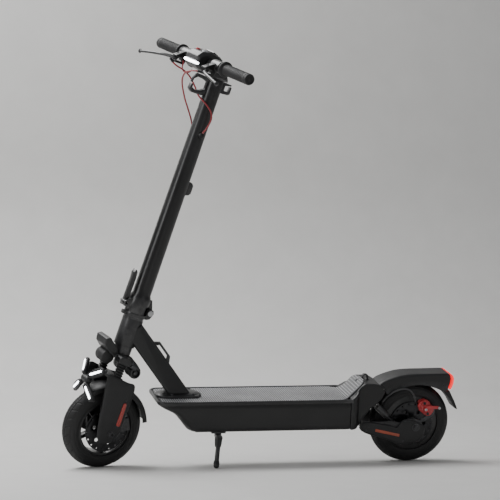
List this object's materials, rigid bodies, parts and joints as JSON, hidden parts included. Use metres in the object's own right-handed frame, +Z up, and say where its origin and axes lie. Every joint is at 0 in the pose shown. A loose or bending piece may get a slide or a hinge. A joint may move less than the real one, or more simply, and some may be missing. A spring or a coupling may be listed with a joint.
{
  "type": "electric kick scooter",
  "caption": "Folding electric kick scooter with a wide mat-covered deck, suspended wheels, hub motor, disc brakes, leaning on its kickstand.",
  "frame": {"origin": "on the floor, under the centre of the bounding box, with the scooter leaning on its kickstand", "axes": "-X forwards along the deck, -Y to the rider's left, +Z up from the floor"},
  "size_m": [1.2381, 0.5875, 1.3058],
  "materials": {
    "deck_shell": "matte plastic",
    "deck_rim": "painted metal",
    "deck_mat": "matt rubber",
    "bottom_cover": "matte plastic",
    "battery_pack": "matte plastic",
    "motor_controller": "aluminium",
    "neck_frame": "painted metal",
    "headset_cups": "painted metal",
    "deck_screws": "brushed steel",
    "rear_casting": "painted metal",
    "rear_fender": "matte plastic",
    "tail_light": "gloss plastic",
    "mud_flap": "matt rubber",
    "stand_bracket": "painted metal",
    "charge_flap": "matt rubber",
    "stand_leg": "painted metal",
    "fork_crown": "painted metal",
    "crown_dampers": "aluminium",
    "hinge_collar": "painted metal",
    "hinge_pin": "brushed steel",
    "fold_lever": "painted metal",
    "fork_legs": "painted metal",
    "leg_covers": "gloss plastic",
    "leg_reflectors": "gloss plastic",
    "front_fender": "matte plastic",
    "light_frame": "matte plastic",
    "light_bars": "gloss plastic",
    "front_axle": "brushed steel",
    "front_caliper": "aluminium",
    "front_tyre": "moulded rubber",
    "front_rim": "painted metal",
    "front_rotor": "brushed steel",
    "stem_tube": "painted metal",
    "stem_hook": "matte plastic",
    "handlebar": "painted metal",
    "cockpit_housing": "gloss plastic",
    "display_lens": "gloss plastic",
    "headlight": "gloss plastic",
    "grips": "matt rubber",
    "lever_perches": "painted metal",
    "brake_cables": "matt rubber",
    "cable_grommet": "matt rubber",
    "bag_hook": "painted metal",
    "brake_lever_left": "painted metal",
    "brake_lever_right": "painted metal",
    "thumb_throttle": "matte plastic",
    "power_button": "gloss plastic",
    "mode_button": "gloss plastic",
    "bag_gate": "brushed steel",
    "swing_arms": "painted metal",
    "motor_cover": "gloss plastic",
    "arm_reflectors": "gloss plastic",
    "rear_caliper": "painted metal",
    "motor_axle": "brushed steel",
    "rear_tyre": "moulded rubber",
    "hub_motor": "painted metal",
    "rear_rotor": "brushed steel",
    "shock_upper": "painted metal",
    "shock_lower": "brushed steel",
    "rear_hose": "matt rubber"
  },
  "bodies": {
    "root": {"deck_shell": "deck_shell", "deck_rim": "deck_rim", "deck_mat": "deck_mat", "bottom_cover": "bottom_cover", "battery_pack": "battery_pack", "motor_controller": "motor_controller", "neck_frame": "neck_frame", "headset_cups": "headset_cups", "deck_screws": "deck_screws", "rear_casting": "rear_casting", "rear_fender": "rear_fender", "tail_light": "tail_light", "mud_flap": "mud_flap", "stand_bracket": "stand_bracket"},
    "charge_door": {"charge_flap": "charge_flap"},
    "kickstand": {"stand_leg": "stand_leg"},
    "steerer": {"fork_crown": "fork_crown", "crown_dampers": "crown_dampers", "hinge_collar": "hinge_collar", "hinge_pin": "hinge_pin"},
    "fold_clamp": {"fold_lever": "fold_lever"},
    "fork": {"fork_legs": "fork_legs", "leg_covers": "leg_covers", "leg_reflectors": "leg_reflectors", "front_fender": "front_fender", "light_frame": "light_frame", "light_bars": "light_bars", "front_axle": "front_axle", "front_caliper": "front_caliper"},
    "front_wheel": {"front_tyre": "front_tyre", "front_rim": "front_rim", "front_rotor": "front_rotor"},
    "stem": {"stem_tube": "stem_tube", "stem_hook": "stem_hook", "handlebar": "handlebar", "cockpit_housing": "cockpit_housing", "display_lens": "display_lens", "headlight": "headlight", "grips": "grips", "lever_perches": "lever_perches", "brake_cables": "brake_cables", "cable_grommet": "cable_grommet", "bag_hook": "bag_hook"},
    "left_brake": {"brake_lever_left": "brake_lever_left"},
    "right_brake": {"brake_lever_right": "brake_lever_right"},
    "throttle": {"thumb_throttle": "thumb_throttle"},
    "power_key": {"power_button": "power_button"},
    "mode_key": {"mode_button": "mode_button"},
    "hook_gate": {"bag_gate": "bag_gate"},
    "swing_arm": {"swing_arms": "swing_arms", "motor_cover": "motor_cover", "arm_reflectors": "arm_reflectors", "rear_caliper": "rear_caliper", "motor_axle": "motor_axle", "rear_hose": "rear_hose"},
    "rear_wheel": {"rear_tyre": "rear_tyre", "hub_motor": "hub_motor", "rear_rotor": "rear_rotor"},
    "shock_bodies": {"shock_upper": "shock_upper"},
    "shock_rods": {"shock_lower": "shock_lower"}
  },
  "joints": [
    {"name": "steer", "type": "hinge", "parent": "root", "child": "steerer", "pos_m": [-0.42266, 0.1479, 0.41319], "axis": [0.2974, -0.1789, 0.9378], "range_deg": [-61.5, 28.5]},
    {"name": "stem_fold", "type": "hinge", "parent": "steerer", "child": "stem", "pos_m": [-0.36829, 0.14699, 0.47254], "axis": [-0.2712, 0.926, 0.2626], "range_deg": [0, 87]},
    {"name": "fold_lever", "type": "hinge", "parent": "stem", "child": "fold_clamp", "pos_m": [-0.4407, 0.11725, 0.50263], "axis": [0.2712, -0.926, -0.2626], "range_deg": [0, 75]},
    {"name": "front_suspension", "type": "slide", "parent": "steerer", "child": "fork", "axis": [0.2974, -0.1789, 0.9378], "range_m": [0, 0.018], "stiffness_N_per_m": 15000, "springref_m": -0.012},
    {"name": "front_wheel_spin", "type": "hinge", "parent": "fork", "child": "front_wheel", "pos_m": [-0.49572, 0.20864, 0.12359], "axis": [-0.2712, 0.926, 0.2626], "continuous": true},
    {"name": "brake_left", "type": "hinge", "parent": "stem", "child": "left_brake", "pos_m": [-0.24034, -0.11892, 1.17668], "axis": [0.2974, -0.1789, 0.9378], "range_deg": [0, 15], "stiffness_Nm_per_rad": 2, "springref_deg": -11.46},
    {"name": "brake_right", "type": "hinge", "parent": "stem", "child": "right_brake", "pos_m": [-0.2924, 0.05888, 1.22711], "axis": [-0.2974, 0.1789, -0.9378], "range_deg": [0, 15], "stiffness_Nm_per_rad": 2, "springref_deg": -11.46},
    {"name": "throttle", "type": "hinge", "parent": "stem", "child": "throttle", "pos_m": [-0.26314, 0.09495, 1.24817], "axis": [-0.2712, 0.926, 0.2626], "range_deg": [0, 30], "stiffness_Nm_per_rad": 0.15, "springref_deg": -28.65},
    {"name": "power_button", "type": "slide", "parent": "stem", "child": "power_key", "axis": [-0.2974, 0.1789, -0.9378], "range_m": [0, 0.002], "stiffness_N_per_m": 600, "springref_m": -0.002},
    {"name": "mode_button", "type": "slide", "parent": "stem", "child": "mode_key", "axis": [-0.2974, 0.1789, -0.9378], "range_m": [0, 0.002], "stiffness_N_per_m": 600, "springref_m": -0.002},
    {"name": "bag_hook_gate", "type": "hinge", "parent": "stem", "child": "hook_gate", "pos_m": [-0.24483, -0.0156, 1.17329], "axis": [0.2712, -0.926, -0.2626], "range_deg": [0, 38], "stiffness_Nm_per_rad": 0.05, "springref_deg": -17.19},
    {"name": "rear_suspension", "type": "hinge", "parent": "root", "child": "swing_arm", "pos_m": [0.308, 0.20245, 0.12725], "axis": [0, -0.9823, -0.1874], "range_deg": [0, 7], "stiffness_Nm_per_rad": 400, "springref_deg": -9.17, "deforming": ["rear_hose"]},
    {"name": "rear_wheel_spin", "type": "hinge", "parent": "swing_arm", "child": "rear_wheel", "pos_m": [0.47, 0.20282, 0.12528], "axis": [0, 0.9823, 0.1874], "continuous": true},
    {"name": "shock_body_turn", "type": "hinge", "parent": "root", "child": "shock_bodies", "pos_m": [0.347, 0.19064, 0.18913], "axis": [0, -0.9823, -0.1874], "range_deg": [-0.5, 8]},
    {"name": "shock_rod_turn", "type": "hinge", "parent": "swing_arm", "child": "shock_rods", "pos_m": [0.408, 0.2017, 0.13118], "axis": [0, -0.9823, -0.1874], "range_deg": [-2.5, 0.5]},
    {"name": "kickstand", "type": "hinge", "parent": "root", "child": "kickstand", "pos_m": [-0.151, 0.12584, 0.09125], "axis": [0, -0.9823, -0.1874], "range_deg": [0, 88], "stiffness_Nm_per_rad": 1.2, "springref_deg": -34.38},
    {"name": "charge_flap", "type": "hinge", "parent": "root", "child": "charge_door", "pos_m": [0.185, 0.28482, 0.20404], "axis": [1, 0, 0], "range_deg": [0, 100], "stiffness_Nm_per_rad": 0.01, "springref_deg": -17.19}
  ],
  "couplings": [
    {"joint": "shock_body_turn", "follows": "rear_suspension", "ratio": 0.8511},
    {"joint": "shock_rod_turn", "follows": "rear_suspension", "ratio": -0.1489}
  ]
}
